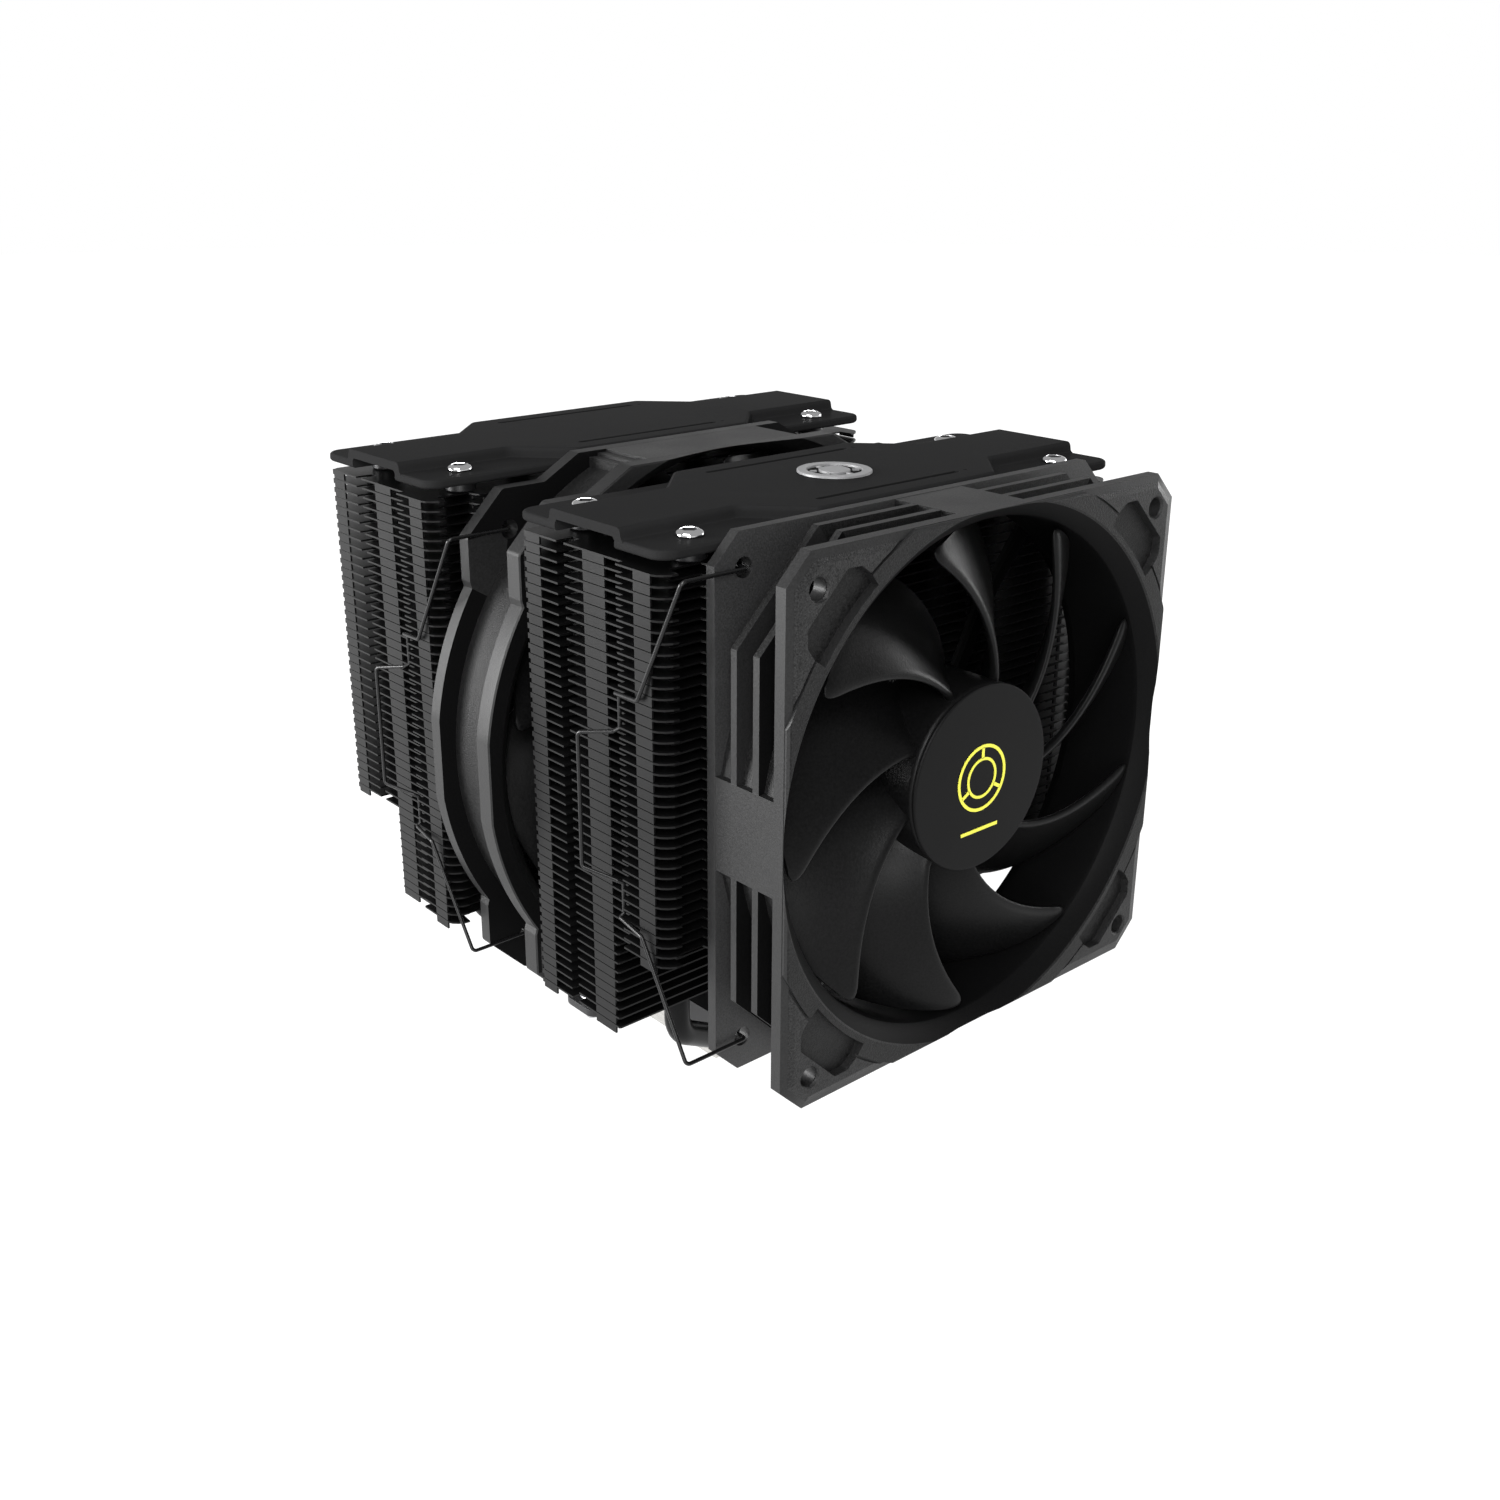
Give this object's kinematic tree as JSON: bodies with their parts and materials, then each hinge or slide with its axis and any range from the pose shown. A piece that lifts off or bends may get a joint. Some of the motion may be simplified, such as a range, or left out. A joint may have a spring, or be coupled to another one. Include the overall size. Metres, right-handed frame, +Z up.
{
  "type": "cpu tower cooler",
  "caption": "Dual-tower CPU air cooler: finned towers on heat pipes over a cold plate, a square front fan and a larger middle fan held by wire clips.",
  "frame": {"origin": "centre of the cold plate's bottom contact face", "axes": "+Z up from the cold plate through the towers; +Y along the air flow, so the front fan faces -Y; +X to the right seen from the front fan"},
  "size_m": [0.1498, 0.1611, 0.1536],
  "materials": {
    "nickel_plate": "polished",
    "base_cap_black": "satin",
    "pipe_black_nickel": "semi-gloss",
    "fin_black": "satin",
    "cover_black": "satin",
    "screw_chrome": "polished",
    "badge_silver": "satin",
    "fan_plastic": "matt",
    "blade_plastic": "satin",
    "pad_rubber": "matt",
    "steel": "satin",
    "clip_wire": "semi-gloss",
    "coil_copper": "satin",
    "board_green": "matt",
    "bearing_brass": "satin",
    "bar_black": "satin"
  },
  "bodies": {
    "base": {"base_cap": "base_cap_black", "bearing_front": "bearing_brass", "bearing_middle": "bearing_brass", "cold_plate": "nickel_plate", "corner_pad_front_1": "pad_rubber", "corner_pad_front_2": "pad_rubber", "corner_pad_front_3": "pad_rubber", "corner_pad_front_4": "pad_rubber", "corner_pad_middle_1": "pad_rubber", "corner_pad_middle_2": "pad_rubber", "corner_pad_middle_3": "pad_rubber", "corner_pad_middle_4": "pad_rubber", "cover_badge": "badge_silver", "cover_screw_front_1": "screw_chrome", "cover_screw_front_2": "screw_chrome", "cover_screw_front_3": "screw_chrome", "cover_screw_front_4": "screw_chrome", "cover_screw_rear_1": "screw_chrome", "cover_screw_rear_2": "screw_chrome", "cover_screw_rear_3": "screw_chrome", "cover_screw_rear_4": "screw_chrome", "fan_frame_front": "fan_plastic", "fan_frame_middle": "fan_plastic", "fin_stack_front": "fin_black", "fin_stack_rear": "fin_black", "heat_pipe_1": "pipe_black_nickel", "heat_pipe_2": "pipe_black_nickel", "heat_pipe_3": "pipe_black_nickel", "heat_pipe_4": "pipe_black_nickel", "heat_pipe_5": "pipe_black_nickel", "heat_pipe_6": "pipe_black_nickel", "motor_board_front": "board_green", "motor_board_middle": "board_green", "mounting_bar": "bar_black", "screw_spring_left": "steel", "screw_spring_right": "steel", "stator_front": "coil_copper", "stator_middle": "coil_copper", "top_cover_front": "cover_black", "top_cover_rear": "cover_black"},
    "rotor_front": {"impeller_front": "blade_plastic", "rotor_ring_front": "steel", "shaft_front": "steel"},
    "rotor_middle": {"impeller_middle": "blade_plastic", "rotor_ring_middle": "steel", "shaft_middle": "steel"},
    "clip_front_left": {"wire_clip_front_left": "clip_wire"},
    "clip_front_right": {"wire_clip_front_right": "clip_wire"},
    "clip_middle_left": {"wire_clip_middle_left": "clip_wire"},
    "clip_middle_right": {"wire_clip_middle_right": "clip_wire"},
    "screw_left": {"spring_screw_left": "steel"},
    "screw_right": {"spring_screw_right": "steel"}
  },
  "joints": [
    {"name": "rotor_spin_front", "type": "hinge", "parent": "base", "child": "rotor_front", "pos_m": [0, -0.0932, 0.093], "axis": [0, 1, 0], "continuous": true},
    {"name": "rotor_spin_middle", "type": "hinge", "parent": "base", "child": "rotor_middle", "pos_m": [0, -0.0094, 0.0856], "axis": [0, 1, 0], "continuous": true},
    {"name": "clip_swing_front_left", "type": "hinge", "parent": "base", "child": "clip_front_left", "pos_m": [-0.0525, -0.0703, 0.093], "axis": [0, 0, 1], "range_deg": [0, 45]},
    {"name": "clip_swing_front_right", "type": "hinge", "parent": "base", "child": "clip_front_right", "pos_m": [0.0525, -0.0703, 0.093], "axis": [0, 0, -1], "range_deg": [0, 45]},
    {"name": "clip_swing_middle_left", "type": "hinge", "parent": "base", "child": "clip_middle_left", "pos_m": [-0.0525, 0.0135, 0.0856], "axis": [0, 0, 1], "range_deg": [0, 45]},
    {"name": "clip_swing_middle_right", "type": "hinge", "parent": "base", "child": "clip_middle_right", "pos_m": [0.0525, 0.0135, 0.0856], "axis": [0, 0, -1], "range_deg": [0, 45]},
    {"name": "screw_press_left", "type": "slide", "parent": "base", "child": "screw_left", "axis": [0, 0, -1], "range_m": [0, 0.0015], "stiffness_N_per_m": 400, "deforming": ["screw_spring_left"]},
    {"name": "screw_press_right", "type": "slide", "parent": "base", "child": "screw_right", "axis": [0, 0, -1], "range_m": [0, 0.0015], "stiffness_N_per_m": 400, "deforming": ["screw_spring_right"]}
  ]
}
